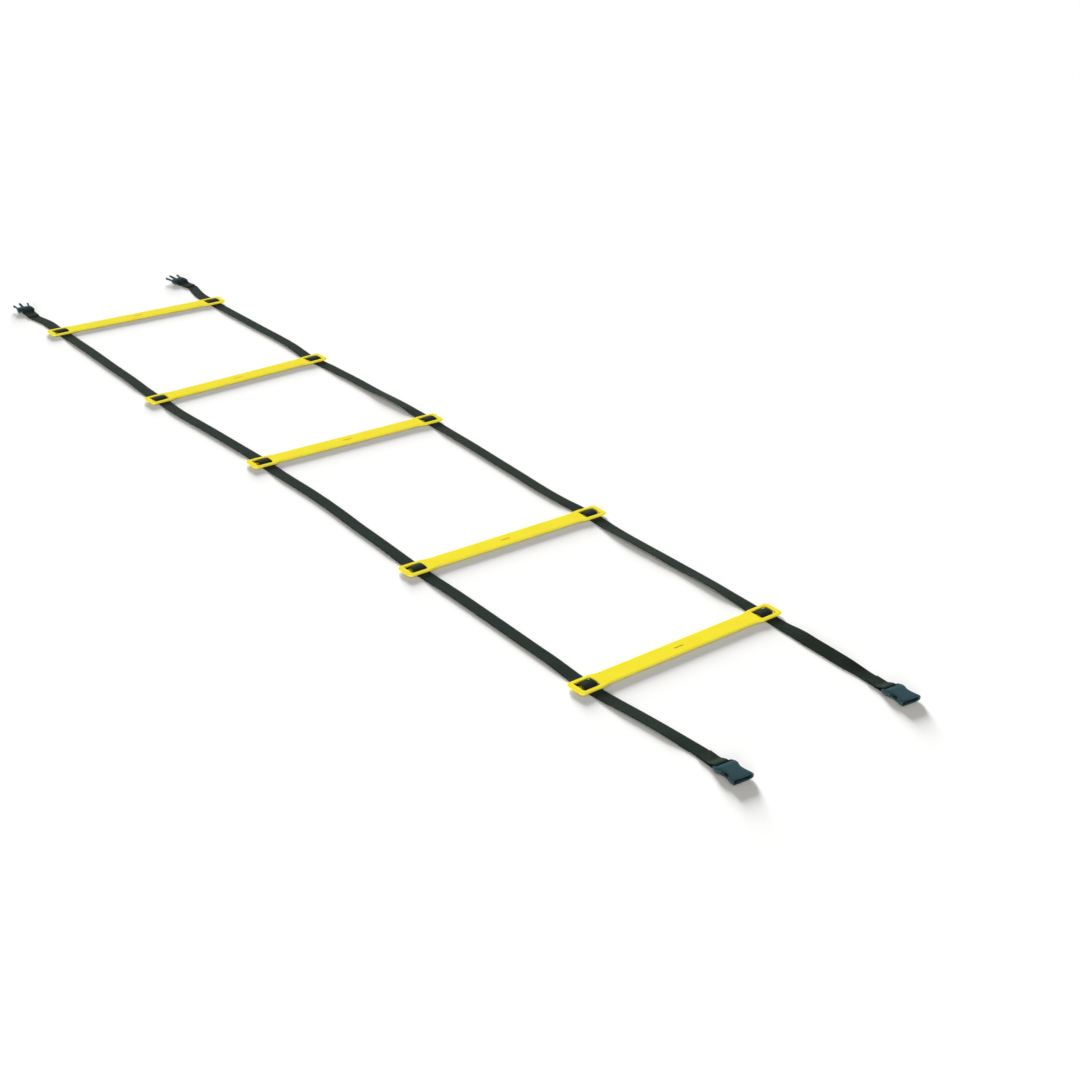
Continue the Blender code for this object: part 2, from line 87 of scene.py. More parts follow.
for name, (shines_from, height_deg, spread_deg, strength, colour, in_gloss) in lights.items():
    light = bpy.data.lights.new(name, "SUN")
    light.angle = radians(spread_deg)
    light.energy = strength
    light.color = colour
    lamp = bpy.data.objects.new(name, light)
    height = Vector(shines_from).length * tan(radians(height_deg))
    lamp.rotation_euler = Vector((*shines_from, height)).to_track_quat("Z", "Y").to_euler()
    lamp.visible_glossy = in_gloss
    bpy.context.collection.objects.link(lamp)

surround = bpy.data.worlds.new("surround")
surround.use_nodes = True
background = surround.node_tree.nodes["Background"]
background.inputs["Color"].default_value = (1, 1, 1, 1)
background.inputs["Strength"].default_value = surround_strength
bpy.context.scene.world = surround

paper = bpy.data.materials.new("floor_paper")
paper.use_nodes = True
paper_shader = paper.node_tree.nodes["Principled BSDF"]
paper_shader.inputs["Base Color"].default_value = floor_white
paper_shader.inputs["Roughness"].default_value = floor_roughness
paper_shader.inputs["Specular IOR Level"].default_value = 0.0

sheet = bmesh.new()
bmesh.ops.create_grid(
    sheet, x_segments=floor_cells, y_segments=floor_cells, size=floor_half_size,
    matrix=Matrix.Translation((0, 0, -floor_drop)),
)
floor_mesh = bpy.data.meshes.new("floor")
sheet.to_mesh(floor_mesh)
sheet.free()
floor_mesh.materials.append(paper)
floor = bpy.data.objects.new("floor", floor_mesh)
bpy.context.collection.objects.link(floor)

# Rungs. Each is one flat polypropylene moulding with rounded edges, wider at its ends round the
# windows. A low bar crosses each window, and the strap climbs over it, which holds the rung.
rung_count = 5
rung_length = 0.418
rung_width = 0.039
rung_middle_width = 0.032
rung_bottom = 0.0018
rung_thickness = 0.0036
rung_corner = 0.007
rung_round = 0.0009
rung_columns = 90
head_end = 0.169
head_ease = 0.020
window_length = 0.032
window_span = 0.026
window_corner = 0.003
window_round = 0.0008
window_offset = 0.1837
window_bar_width = 0.009
window_bar_low = 0.0020
window_bar_thickness = 0.0015
window_bar_root = 0.0004
window_bar_round = 0.0005
gate_length = 0.019
gate_width = 0.0022
gate_depth = 0.00025
gate_stain = 0.95
just_over_half = 0.51
just_under_half = 0.49
corner_steps = 6
bevel_steps = 3
flat_slope = 0.02
level_limit_deg = 1
normal_weight = 90
# Where the surface turns between these angles, a pale painted highlight goes on the edge.
highlight_turn_start = cos(radians(19))
highlight_turn_full = cos(radians(29))
highlight_face_limit = 0.00002
# Strength of the painted highlight on the rung's rounded edges and window rims.
rung_edge_highlight_strength = 0.5
rung_spot_digits = 5
scuff_roughness = 0.35


def finished(shape, name, smooth_deg=40):
    """A mesh from a bmesh, smooth apart from its sharp edges."""
    mesh = bpy.data.meshes.new(name)
    shape.to_mesh(mesh)
    shape.free()
    mesh.shade_smooth()
    mesh.set_sharp_from_angle(angle=radians(smooth_deg))
    return mesh


def place_piece(name, mesh, material):
    """An object at the origin whose place is in its mesh."""
    mesh.materials.clear()
    mesh.materials.append(material)
    piece = bpy.data.objects.new(name, mesh)
    bpy.context.collection.objects.link(piece)
    return piece


def applied(mesh, modifiers):
    """The mesh with modifiers applied. Each is (kind, settings); a mesh setting becomes an object."""
    body = bpy.data.objects.new("body", mesh)
    bpy.context.collection.objects.link(body)
    helpers = []
    for kind, settings in modifiers:
        modifier = body.modifiers.new(kind, kind)
        for key, value in settings.items():
            if isinstance(value, bpy.types.Mesh):
                helper = bpy.data.objects.new("helper", value)
                bpy.context.collection.objects.link(helper)
                helpers.append(helper)
                value = helper
            setattr(modifier, key, value)
    depsgraph = bpy.context.evaluated_depsgraph_get()
    result = bpy.data.meshes.new_from_object(body.evaluated_get(depsgraph))
    for item in helpers + [body]:
        bpy.data.objects.remove(item)
    return result


def ease_in_out(share):
    share = min(max(share, 0), 1)
    return share * share * (3 - 2 * share)


def rounded_loop(shape, middle, length, width, corner):
    """Edges of a rounded rectangle that lies level."""
    matrix = Matrix.LocRotScale(middle, None, Vector((length, width, 1)))
    made = bmesh.ops.create_grid(shape, x_segments=1, y_segments=1, size=0.5, matrix=matrix)
    bmesh.ops.bevel(
        shape, geom=made["verts"], affect="VERTICES", offset=corner, segments=corner_steps,
        profile=0.5, material=-1, clamp_overlap=True,
    )
    rim = [edge for edge in shape.edges if edge.link_faces]
    bmesh.ops.delete(shape, geom=shape.faces[:], context="FACES_ONLY")
    return rim


def rounded(shape, edges, size, clamp=False):
    """Rounds edges of a bmesh."""
    bmesh.ops.bevel(
        shape, geom=edges, offset=size, affect="EDGES", segments=bevel_steps, profile=0.5, material=-1,
        clamp_overlap=clamp,
    )


def in_window(spot):
    return abs(abs(spot.x) - window_offset) < window_length * just_over_half and (
        abs(spot.y) < window_span * just_over_half
    )


def outside_windows(spot):
    return not in_window(spot)


def in_gate(spot):
    return abs(spot.x) < gate_length and abs(spot.y) < gate_width


def rim_edges(shape, keep):
    """Edges between a level face and an upright one whose middle passes the test."""
    found = []
    for edge in shape.edges:
        if len(edge.link_faces) == 2:
            slopes = sorted(abs(face.normal.z) for face in edge.link_faces)
            if slopes[0] < flat_slope and slopes[1] > 1 - flat_slope:
                middle = (edge.verts[0].co + edge.verts[1].co) / 2
                if keep(middle):
                    found.append(edge)
    return found


def rung_outline():
    """A rung's flat underside with its waist and its windows, and the gate mark as a face of its own."""
    plate = bmesh.new()
    low = Vector((0, 0, rung_bottom))
    outline = rounded_loop(plate, low, rung_length, rung_width, rung_corner)
    long_sides = [edge for edge in outline if edge.calc_length() > rung_length / 2]
    bmesh.ops.subdivide_edges(plate, edges=long_sides, cuts=rung_columns - 1)
    for vert in plate.verts:
        waist = ease_in_out((head_end - abs(vert.co.x)) / head_ease)
        vert.co.y *= 1 - waist * (1 - rung_middle_width / rung_width)
    for sign in (-1, 1):
        middle = low + Vector((sign * window_offset, 0, 0))
        rounded_loop(plate, middle, window_length, window_span, window_corner)
    gate = rounded_loop(plate, low, gate_length, gate_width, gate_width * just_under_half)
    bmesh.ops.triangle_fill(plate, use_beauty=True, edges=plate.edges[:], normal=(0, 0, 1))
    inner = [edge for edge in plate.edges if len(edge.link_faces) == 2]
    bmesh.ops.dissolve_limit(plate, angle_limit=radians(level_limit_deg), verts=[], edges=inner)
    bmesh.ops.contextual_create(plate, geom=gate)
    return plate


def window_bar(sign):
    """The low bar across one of a rung's windows."""
    bar = bmesh.new()
    size = Vector((window_length + 2 * window_bar_root, window_bar_width, window_bar_thickness))
    middle = Vector((sign * window_offset, 0, window_bar_low + window_bar_thickness / 2))
    bmesh.ops.create_cube(bar, size=1, matrix=Matrix.LocRotScale(middle, None, size))
    rounded(bar, [edge for edge in bar.edges if edge.calc_length() > window_length], window_bar_round)
    return finished(bar, "bar")


def rung_moulding():
    plate = rung_outline()
    grown = bmesh.ops.extrude_face_region(plate, geom=plate.faces[:])["geom"]
    raised = [item for item in grown if isinstance(item, bmesh.types.BMVert)]
    bmesh.ops.translate(plate, verts=raised, vec=(0, 0, rung_thickness))
    bmesh.ops.recalc_face_normals(plate, faces=plate.faces)
    gate_faces = [
        face for face in plate.faces
        if face.normal.z > 1 - flat_slope and all(in_gate(vert.co) for vert in face.verts)
    ]
    rounded(plate, rim_edges(plate, outside_windows), rung_round, clamp=True)
    rounded(plate, rim_edges(plate, in_window), window_round, clamp=True)
    bmesh.ops.inset_region(plate, faces=gate_faces, thickness=gate_depth, depth=-gate_depth)
    bars = [
        ("BOOLEAN", {"operation": "UNION", "solver": "EXACT", "object": window_bar(sign)}) for sign in (-1, 1)
    ]
    even_shading = ("WEIGHTED_NORMAL", {"keep_sharp": True, "weight": normal_weight})
    return applied(finished(plate, "rung_plate"), bars + [even_shading])


def lay_of(rung):
    """Where a rung lies: its middle and its turn, read from its CAD node."""
    vertices = frame["nodes"][rung].data.vertices
    spots = {tuple(round(c, rung_spot_digits) for c in vert.co[:2]) for vert in vertices}
    spots = np.array(sorted(spots))
    middle = (spots.min(0) + spots.max(0)) / 2
    along = np.linalg.svd(spots - middle, full_matrices=False)[2][0]
    along = along * np.sign(along[0])
    x_axis = Vector((along[0], along[1], 0))
    matrix = Matrix((x_axis, Vector((-along[1], along[0], 0)), Vector((0, 0, 1)))).transposed().to_4x4()
    matrix.translation = (middle[0], middle[1], 0)
    return matrix


def shader_group(name, inputs, outputs):
    """An empty node group with named sockets."""
    group = bpy.data.node_groups.new(name, "ShaderNodeTree")
    for in_out, sockets in (("INPUT", inputs), ("OUTPUT", outputs)):
        for label, kind in sockets.items():
            group.interface.new_socket(label, in_out=in_out, socket_type="NodeSocket" + kind)
    return group, group.nodes.new("NodeGroupInput").outputs, group.nodes.new("NodeGroupOutput").inputs


def add(tree, kind, settings=None, **inputs):
    """A node with its settings and inputs; an input is a value or another node's socket."""
    node = tree.nodes.new("ShaderNode" + kind)
    for key, value in (settings or {}).items():
        setattr(node, key, value)
    for key, value in inputs.items():
        label = key.replace("_", " ")
        socket = node.inputs[int(key[1:])] if key[1:].isdigit() else node.inputs[label]
        if isinstance(value, bpy.types.NodeSocket):
            tree.links.new(value, socket)
        else:
            socket.default_value = value
    return node


def worked_out(tree, operation, *values):
    """Output of a Math node."""
    inputs = {f"_{n}": value for n, value in enumerate(values)}
    return add(tree, "Math", {"operation": operation}, **inputs).outputs[0]


def ramp(tree, value, start, end, first=0.0, last=1.0):
    """Output of a Map Range node: first at start, last at end, and held beyond them."""
    return add(
        tree, "MapRange", Value=value, From_Min=start, From_Max=end, To_Min=first, To_Max=last
    ).outputs[0]


def noise(tree, vector, scale, detail):
    return add(tree, "TexNoise", Vector=vector, Scale=scale, Detail=detail).outputs[0]


def mixed(tree, share, first, second):
    return add(tree, "MixRGB", _0=share, _1=first, _2=second).outputs[0]


surface_outputs = {"Colour": "Color", "Roughness": "Float", "Height": "Float"}


def moulded_group():
    """Moulded plastic: fine spark grain, cloudy colour, light scuffs, a painted highlight on sharp edges, and
    stains.
    """
    group, given, out = shader_group(
        "moulded_plastic",
        {
            "Colour": "Color", "Cloud Colour": "Color", "Scuff Colour": "Color", "Edge Highlight Colour": "Color",
            "Stain Colour": "Color", "Grain": "Float", "Roughness": "Float", "Scuffs": "Float",
        },
        surface_outputs,
    )
    spot = add(group, "TexCoord").outputs["Object"]
    cloud = ramp(group, noise(group, spot, scale=22.0, detail=3.0), start=0.45, end=0.75)
    stretched = add(group, "Mapping", Vector=spot, Scale=(90.0, 900.0, 400.0), Rotation=(0.0, 0.0, 0.35))
    hairs = ramp(group, noise(group, stretched.outputs[0], scale=1.0, detail=4.0), start=0.62, end=0.72)
    scuffs = worked_out(group, "MULTIPLY", hairs, given["Scuffs"])
    edge = add(group, "Attribute", {"attribute_name": "edge"}).outputs["Fac"]
    stain = add(group, "Attribute", {"attribute_name": "stain"}).outputs["Fac"]
    colour = mixed(group, cloud, given["Colour"], given["Cloud Colour"])
    colour = mixed(group, scuffs, colour, given["Scuff Colour"])
    # The edge attribute masks a painted highlight on sharp edges, mixed in here with the edge colour.
    colour = mixed(group, edge, colour, given["Edge Highlight Colour"])
    colour = mixed(group, stain, colour, given["Stain Colour"])
    group.links.new(colour, out["Colour"])
    rough = worked_out(group, "MULTIPLY_ADD", scuffs, scuff_roughness, given["Roughness"])
    group.links.new(rough, out["Roughness"])
    group.links.new(noise(group, spot, scale=given["Grain"], detail=2.0), out["Height"])
    return group


moulded_plastic = moulded_group()


def surface_material(name, group, bump, given, constants):
    """A material that takes colour, roughness and bump from a node group, and the rest as constants."""
    material = bpy.data.materials.new(name)
    material.use_nodes = True
    tree = material.node_tree
    shader = tree.nodes["Principled BSDF"]
    surface = add(tree, "Group", {"node_tree": group})
    for node, values in ((surface, given), (shader, constants)):
        for label, value in values.items():
            node.inputs[label].default_value = value
    relief = add(tree, "Bump", Height=surface.outputs["Height"], **bump)
    tree.links.new(surface.outputs["Colour"], shader.inputs["Base Color"])
    tree.links.new(surface.outputs["Roughness"], shader.inputs["Roughness"])
    tree.links.new(relief.outputs[0], shader.inputs["Normal"])
    return material


def mark(mesh, name, values):
    """A value for each vertex, which a material reads as an attribute."""
    mesh.attributes.new(name, "FLOAT", "POINT").data.foreach_set("value", values)


def mark_edge_highlights(mesh, strength):
    """Attribute edge: above zero where the surface turns sharply, for a painted highlight along those edges.
    """
    normals = [[] for _ in mesh.vertices]
    widest = [0.0 for _ in mesh.vertices]
    for face in mesh.polygons:
        for vert in face.vertices:
            normals[vert].append(face.normal)
            widest[vert] = max(widest[vert], face.area)
    values = []
    for around, area in zip(normals, widest):
        flattest = min((one.dot(other) for one in around for other in around), default=1)
        turned = ease_in_out((highlight_turn_start - flattest) / (highlight_turn_start - highlight_turn_full))
        values.append(strength * turned if area < highlight_face_limit else 0)
    mark(mesh, "edge", values)


def mark_gate(mesh):
    """Attribute stain: above zero on the floor of the gate mark."""
    top = rung_bottom + rung_thickness
    mark(mesh, "stain", [
        gate_stain * (in_gate(vert.co) and top - 2 * gate_depth < vert.co.z < top) for vert in mesh.vertices
    ])


# The rung's edge colour is a painted highlight along its rounded edges and window rims.
rung_plastic = surface_material(
    "rung_plastic", moulded_plastic, {"Strength": 0.35, "Distance": 0.00006},
    {
        "Colour": (0.81, 0.70, 0.017, 1), "Cloud Colour": (0.81, 0.65, 0.014, 1),
        "Scuff Colour": (0.84, 0.75, 0.13, 1), "Edge Highlight Colour": (0.90, 0.84, 0.20, 1),
        "Stain Colour": (0.30, 0.17, 0.01, 1), "Grain": 2200.0, "Roughness": 0.42, "Scuffs": 0.22,
    },
    {"Specular IOR Level": 0.3, "Subsurface Weight": 0.08, "Subsurface Scale": 0.002},
)
one_rung = rung_moulding()
mark_edge_highlights(one_rung, rung_edge_highlight_strength)
mark_gate(one_rung)
lays = []
for number in range(1, rung_count + 1):
    lay = lay_of(f"rung_{number}")
    lays.append(lay)
    moulding = one_rung.copy()
    moulding.transform(lay)
    rung = place_piece(f"rung_{number}_moulding", moulding, rung_plastic)
    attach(rung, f"rung_{number}")
    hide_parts(f"rung_{number}")

# Webbing. Both straps are 25 mm polypropylene webbing in a herringbone weave, dark green-black,
# with rounded selvedges. They sway between the rungs, and one edge stands up where they twist.
strap_width = 0.025
strap_thickness = 0.0015
selvedge = 0.0010
selvedge_steps = 4
cord_count = 10
cord_steps = 4
cord_relief = 0.00006
weld_distance = 0.000001
webbing_smooth_deg = 60
column_slant = 1.5
fuzz_height = 0.3
ring_spacing = 0.003
ring_gap = 0.005
ring_side_corners = 4
strap_spot_digits = 6
hidden_reach = 0.017
fold_reach_share = 0.7
fold_half_steps = 12
right_strap_inset = 0.00225
strap_places = {"left": -window_offset, "right": window_offset - right_strap_inset}
edge_lifts = {
    # place along Y and how high the strap's left edge stands there, or its right edge where negative
    "left": (
        (0.940, 0), (0.880, 0.0016), (0.600, 0.0016), (0.540, 0), (0.480, 0), (0.420, 0.0016),
        (0.180, 0.0016), (0.135, 0), (0.080, 0), (0.020, 0.0014), (-0.330, 0.0014), (-0.385, 0),
        (-0.440, 0), (-0.500, 0.0014), (-0.780, 0.0014), (-0.835, 0), (-0.890, 0),
        (-0.970, 0.0022), (-1.030, 0.0022), (-1.085, 0),
    ),
    "right": (
        (0.940, 0), (0.880, 0.0016), (0.600, 0.0016), (0.540, 0), (0.480, 0), (0.400, 0.0018),
        (0.320, 0.0024), (0.250, 0.0054), (0.195, 0.0046), (0.132, 0), (0.080, 0), (0.020, 0.0022),
        (-0.330, 0.0022), (-0.385, 0), (-0.440, 0), (-0.530, 0.0042), (-0.600, 0.0038), (-0.660, 0.0026),
        (-0.740, 0.0042), (-0.835, 0), (-0.885, 0), (-0.960, -0.0054), (-1.040, -0.0054), (-1.088, 0),
    ),
}
swings = {
    # place along Y and how far to the right of its CAD place the strap lies there
    "left": (
        (1.030, 0), (0.960, 0.0030), (0.840, 0.0048), (0.660, 0.0030), (0.545, 0), (0.460, 0),
        (0.360, 0.0035), (0.120, 0.0030), (0.040, 0.0020), (-0.140, 0.0065), (-0.240, 0.0040),
        (-0.420, 0.0025), (-0.540, 0.0045), (-0.760, 0.0046), (-0.850, 0.0012), (-0.930, -0.0005),
        (-1.080, 0),
    ),
    "right": (
        (1.030, 0), (0.960, 0.0030), (0.780, 0.0032), (0.620, 0.0062), (0.530, 0.0038), (0.480, 0.0052),
        (0.400, 0.0010), (0.300, 0), (0.190, 0.0042), (0.100, 0.0042), (0.000, 0.0030), (-0.200, 0.0024),
        (-0.340, -0.0010), (-0.412, 0.0016), (-0.480, 0), (-0.560, 0.0012), (-0.750, -0.0005),
        (-0.863, 0.0016), (-0.920, -0.0005), (-0.980, -0.0030), (-1.040, -0.0030), (-1.085, 0),
    ),
}


def webbing_profile():
    """Cross-section as (across, up) points, anticlockwise: corded faces and rounded selvedges."""
    half, rise = strap_width / 2, strap_thickness / 2
    flat = half - selvedge
    steps = cord_count * cord_steps
    points = []
    for side in (1, -1):
        for step in range(selvedge_steps):
            angle = pi * (step / selvedge_steps - side / 2)
            points.append((side * flat + selvedge * cos(angle), rise * sin(angle)))
        for step in range(steps):
            share = step / steps
            dip = cord_relief * (1 - abs(sin(pi * cord_count * share)))
            points.append((side * flat * (1 - 2 * share), side * (rise - dip)))
    return points


def lengths_along(points):
    """Distance of each point from the first one, along the line through them."""
    lengths = [0.0]
    for before, after in zip(points, points[1:]):
        lengths.append(lengths[-1] + dist(before, after))
    return lengths


strap_profile = webbing_profile()
profile_lengths = lengths_along(strap_profile + strap_profile[:1])


def closed_skin(shape, name, smooth_deg=40):
    """A mesh from a rolled-up grid, with its seam joined and its ends filled."""
    bmesh.ops.remove_doubles(shape, verts=shape.verts, dist=weld_distance)
    bmesh.ops.holes_fill(shape, edges=[edge for edge in shape.edges if edge.is_boundary], sides=0)
    bmesh.ops.recalc_face_normals(shape, faces=shape.faces)
    return finished(shape, name, smooth_deg)


def webbing_mesh(name, stations):
    """Webbing through stations of (middle, across, up, distance along the strap)."""
    around, rings = len(strap_profile), len(stations)
    shape = bmesh.new()
    bmesh.ops.create_grid(shape, x_segments=around, y_segments=rings - 1, size=0.5)
    layer = shape.loops.layers.uv.new("weave")
    for face in shape.faces:
        for loop in face.loops:
            column = round((loop.vert.co.x + 0.5) * around)
            row = round((loop.vert.co.y + 0.5) * (rings - 1))
            loop[layer].uv = (profile_lengths[column] / strap_width, stations[row][3] / strap_width)
    for vert in shape.verts:
        column = round((vert.co.x + 0.5) * around) % around
        middle, across, up, _ = stations[round((vert.co.y + 0.5) * (rings - 1))]
        x, z = strap_profile[column]
        vert.co = middle + across * x + up * z
    return closed_skin(shape, name, webbing_smooth_deg)


def rings_of(node):
    """Middle, across and up of each cross-section of a CAD strap run laid flat, far end first."""
    vertices = frame["nodes"][node].data.vertices
    spots = {tuple(round(c, strap_spot_digits) for c in vert.co) for vert in vertices}
    spots = [Vector(spot) for spot in sorted(spots, key=lambda spot: -spot[1])]
    groups = [[spots[0]]]
    for before, spot in zip(spots, spots[1:]):
        if before.y - spot.y > ring_gap:
            groups.append([])
        groups[-1].append(spot)
    rings = []
    for group in groups:
        group.sort(key=lambda spot: spot.x)
        middle = sum(group, Vector()) / len(group)
        middle.z = strap_thickness / 2
        left, right = group[:ring_side_corners], group[ring_side_corners:]
        across = sum(right, Vector()) - sum(left, Vector())
        across.z = 0
        rings.append((middle, across.normalized(), Vector((0, 0, 1))))
    return rings


def under_rung(place, lay, reach):
    """Cross-section of the strap under a rung's border, reach from the rung's middle line."""
    middle = lay @ Vector((place, reach, strap_thickness / 2))
    return middle, lay.to_3x3() @ Vector((1, 0, 0)), Vector((0, 0, 1))


def station_at(rings, lengths, along):
    """Cross-section at a distance along a smooth strap through the rings."""
    n = max(k for k in range(len(rings) - 1) if k == 0 or lengths[k] <= along)
    span = lengths[n + 1] - lengths[n]
    share = min(max((along - lengths[n]) / span, 0), 1)
    parts = []
    for part in range(3):
        slopes = []
        for k in (n, n + 1):
            before, after = max(k - 1, 0), min(k + 1, len(rings) - 1)
            slopes.append((rings[after][part] - rings[before][part]) / (lengths[after] - lengths[before]))
        swing = slopes[0] * (share * (1 - share) ** 2) - slopes[1] * (share * share * (1 - share))
        parts.append(rings[n][part].lerp(rings[n + 1][part], ease_in_out(share)) + swing * span)
    return parts[0], parts[1].normalized(), parts[2].normalized(), along


def stations_between(rings, start, end, spacing):
    """Evenly spaced cross-sections from one distance along the strap to another."""
    lengths = lengths_along([middle for middle, _, _ in rings])
    end = lengths[-1] if end is None else end
    count = max(2, round((end - start) / spacing))
    return [station_at(rings, lengths, start + (end - start) * n / count) for n in range(count + 1)]


def value_at(table, y):
    """Smooth value between the table's places, and nothing beyond them."""
    for (far, value), (near, next_value) in zip(table, table[1:]):
        if near <= y <= far:
            return value + (next_value - value) * ease_in_out((far - y) / (far - near))
    return 0


def as_it_lies(stations, label):
    """Cross-sections moved sideways, and turned about one edge of the strap so that the other rises."""
    turned = []
    for middle, across, up, along in stations:
        angle = asin(value_at(edge_lifts[label], middle.y) / strap_width)
        leaned = across * cos(angle) - up * sin(angle)
        reach = strap_width / 2 if angle > 0 else -strap_width / 2
        middle = middle + (across - leaned) * reach + Vector((value_at(swings[label], middle.y), 0, 0))
        turned.append((middle, leaned, up * cos(angle) + across * sin(angle), along))
    return turned


def distance_at(rings, y):
    """Distance along the strap at which it passes a line across the ladder."""
    middles = [middle for middle, _, _ in rings]
    return float(np.interp(-y, [-middle.y for middle in middles], lengths_along(middles)))


def joint_named(name):
    return next(joint for joint in frame["joints"] if joint["name"] == name)


def weave_group():
    """Herringbone weave on a strap's own UV map, in strap widths, with painted shade in the gaps between
    yarns and cords.
    """
    group, given, out = shader_group(
        "herringbone_weave",
        {
            "Yarn Colour": "Color", "Gap Shade Colour": "Color", "Faded Colour": "Color",
            "Columns": "Float", "Picks": "Float",
        },
        surface_outputs,
    )
    uv = add(group, "UVMap", {"uv_map": "weave"}).outputs[0]
    axes = add(group, "SeparateXYZ", Vector=uv).outputs
    column = worked_out(group, "MULTIPLY", axes[0], given["Columns"])
    slant = worked_out(group, "PINGPONG", column, 1.0)
    pick = worked_out(group, "MULTIPLY", axes[1], given["Picks"])
    turn = worked_out(group, "MULTIPLY_ADD", slant, column_slant, pick)
    wave = worked_out(group, "SINE", worked_out(group, "MULTIPLY", turn, tau))
    yarn = ramp(group, wave, start=-0.9, end=0.7)
    ridge = ramp(group, worked_out(group, "PINGPONG", column, 0.5), start=0.0, end=0.16, first=0.35)
    body = worked_out(group, "MULTIPLY", yarn, ridge)
    stretched = add(group, "Mapping", Vector=uv, Scale=(260.0, 60.0, 1.0)).outputs[0]
    fuzz = noise(group, stretched, scale=1.0, detail=3.0)
    spot = add(group, "TexCoord").outputs["Object"]
    patches = ramp(group, noise(group, spot, scale=9.0, detail=3.0), start=0.42, end=0.72)
    aged = mixed(group, patches, given["Yarn Colour"], given["Faded Colour"])
    # The gaps between yarns and between cords get the gap colour, a painted shade.
    group.links.new(mixed(group, body, given["Gap Shade Colour"], aged), out["Colour"])
    group.links.new(ramp(group, body, start=0.0, end=1.0, first=0.95, last=0.72), out["Roughness"])
    group.links.new(worked_out(group, "MULTIPLY_ADD", fuzz, fuzz_height, body), out["Height"])
    return group


# The webbing's gap colour is painted shade in the weave's grooves.
strap_webbing = surface_material(
    "strap_webbing", weave_group(), {"Strength": 0.8, "Distance": 0.00025},
    {
        "Yarn Colour": (0.016, 0.032, 0.026, 1), "Gap Shade Colour": (0.004, 0.007, 0.006, 1),
        "Faded Colour": (0.022, 0.034, 0.022, 1), "Columns": 10.0, "Picks": 17.0,
    },
    {"Sheen Weight": 0.03, "Sheen Roughness": 0.4, "Specular IOR Level": 0.15},
)


def strap_piece(name, stations, label):
    return place_piece(name, webbing_mesh(name, as_it_lies(stations, label)), strap_webbing)


for label, place in strap_places.items():
    for number in range(1, rung_count):
        far, near = lays[number - 1], lays[number]
        far_rings = rings_of(f"{label}_strap_{number}_near")
        near_rings = rings_of(f"{label}_strap_{number + 1}_far")
        rings = [under_rung(place, far, -hidden_reach)] + far_rings + near_rings[1:]
        rings.append(under_rung(place, near, hidden_reach))
        _, fold_line, fold_height = joint_named(f"fold_{number}_{number + 1}")["pos_m"]
        reach = fold_height * fold_reach_share
        before, after = distance_at(rings, fold_line) - reach, distance_at(rings, fold_line) + reach
        far_half = stations_between(rings, 0.0, before, ring_spacing)
        crossing = stations_between(rings, before, after, reach / fold_half_steps)
        near_half = stations_between(rings, after, None, ring_spacing)

        piece = strap_piece(f"{label}_webbing_{number}_near", far_half, label)
        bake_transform(piece)
        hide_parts(f"{label}_strap_{number}_near")

        piece = strap_piece(f"{label}_webbing_{number + 1}_far", near_half, label)
        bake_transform(piece)
        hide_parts(f"{label}_strap_{number + 1}_far")

        piece = strap_piece(f"{label}_webbing_fold_{number}", crossing, label)
        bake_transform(piece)

# Lacing. At each rung the strap dips under one long border, comes up through the window, crosses
# the bar in a rounded hump that fills the window, and dips under the other border.
climb_inset = 0.0007
hump_half = 0.0062
hump_lift = 0.0049
hump_crown = 0.0005
lacing_steps = 28


def lacing_path():
    """Middle line of the webbing through a window as (y, z) points, far side first."""
    outer = window_span / 2 - climb_inset
    path = []
    for n in range(2 * lacing_steps + 1):
        y = hidden_reach * (1 - n / lacing_steps)
        climb = ease_in_out((outer - abs(y)) / (outer - hump_half))
        crown = max(1 - (y / hump_half) ** 2, 0)
        path.append((y, strap_thickness / 2 + hump_lift * climb + hump_crown * crown))
    return path


def stations_on(path, matrix, heading):
    """Cross-sections square to a path of (y, z) points, which starts along +Y (1) or -Y (-1)."""
    turn = matrix.to_3x3()
    across = turn @ Vector((1, 0, 0))
    stations = []
    for n, ((y, z), along) in enumerate(zip(path, lengths_along(path))):
        before, after = path[max(n - 1, 0)], path[min(n + 1, len(path) - 1)]
        slope = Vector((0, after[0] - before[0], after[1] - before[1])).normalized()
        up = across.cross(turn @ slope) * heading
        stations.append((matrix @ Vector((0, y, z)), across, up, along))
    return stations


for label, place in strap_places.items():
    for number, lay in enumerate(lays, 1):
        stations = stations_on(lacing_path(), lay @ Matrix.Translation((place, 0, 0)), -1)
        piece = strap_piece(f"{label}_lacing_{number}_webbing", stations, label)
        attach(piece, f"rung_{number}")
        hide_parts(f"{label}_lacing_{number}")

# Strap ends. The webbing runs on past the end rungs, goes round a buckle's bar, is laid back on
# itself and is sewn down with a box of thread and a cross in it.
loop_reach = 0.045
sewn_length = 0.038
loop_closes = 0.019
loop_rise = 0.008
bar_clearance = 0.0003
bar_radius = 0.002
rise_steps = 12
bar_steps = 24
closing_steps = 16
loop_spacing = 0.0006


def bar_matrix(pivot):
    """Frame on the middle of a buckle's bar: X along the bar, Y level towards the buckle's end."""
    x_axis = -Vector(pivot["axis"]).normalized()
    y_axis = Vector((0, 0, 1)).cross(x_axis)
    matrix = Matrix((x_axis, y_axis, Vector((0, 0, 1)))).transposed().to_4x4()
    matrix.translation = pivot["pos_m"]
    return matrix


def loop_matrix(pivot, node):
    """Frame of a strap end: its middle below the bar on the ground, where its CAD node has it."""
    matrix = bar_matrix(pivot)
    to_bar = matrix.inverted()
    across = [(to_bar @ vert.co).x for vert in frame["nodes"][node].data.vertices]
    return matrix @ Matrix.Translation(((min(across) + max(across)) / 2, 0, -matrix.translation.z))


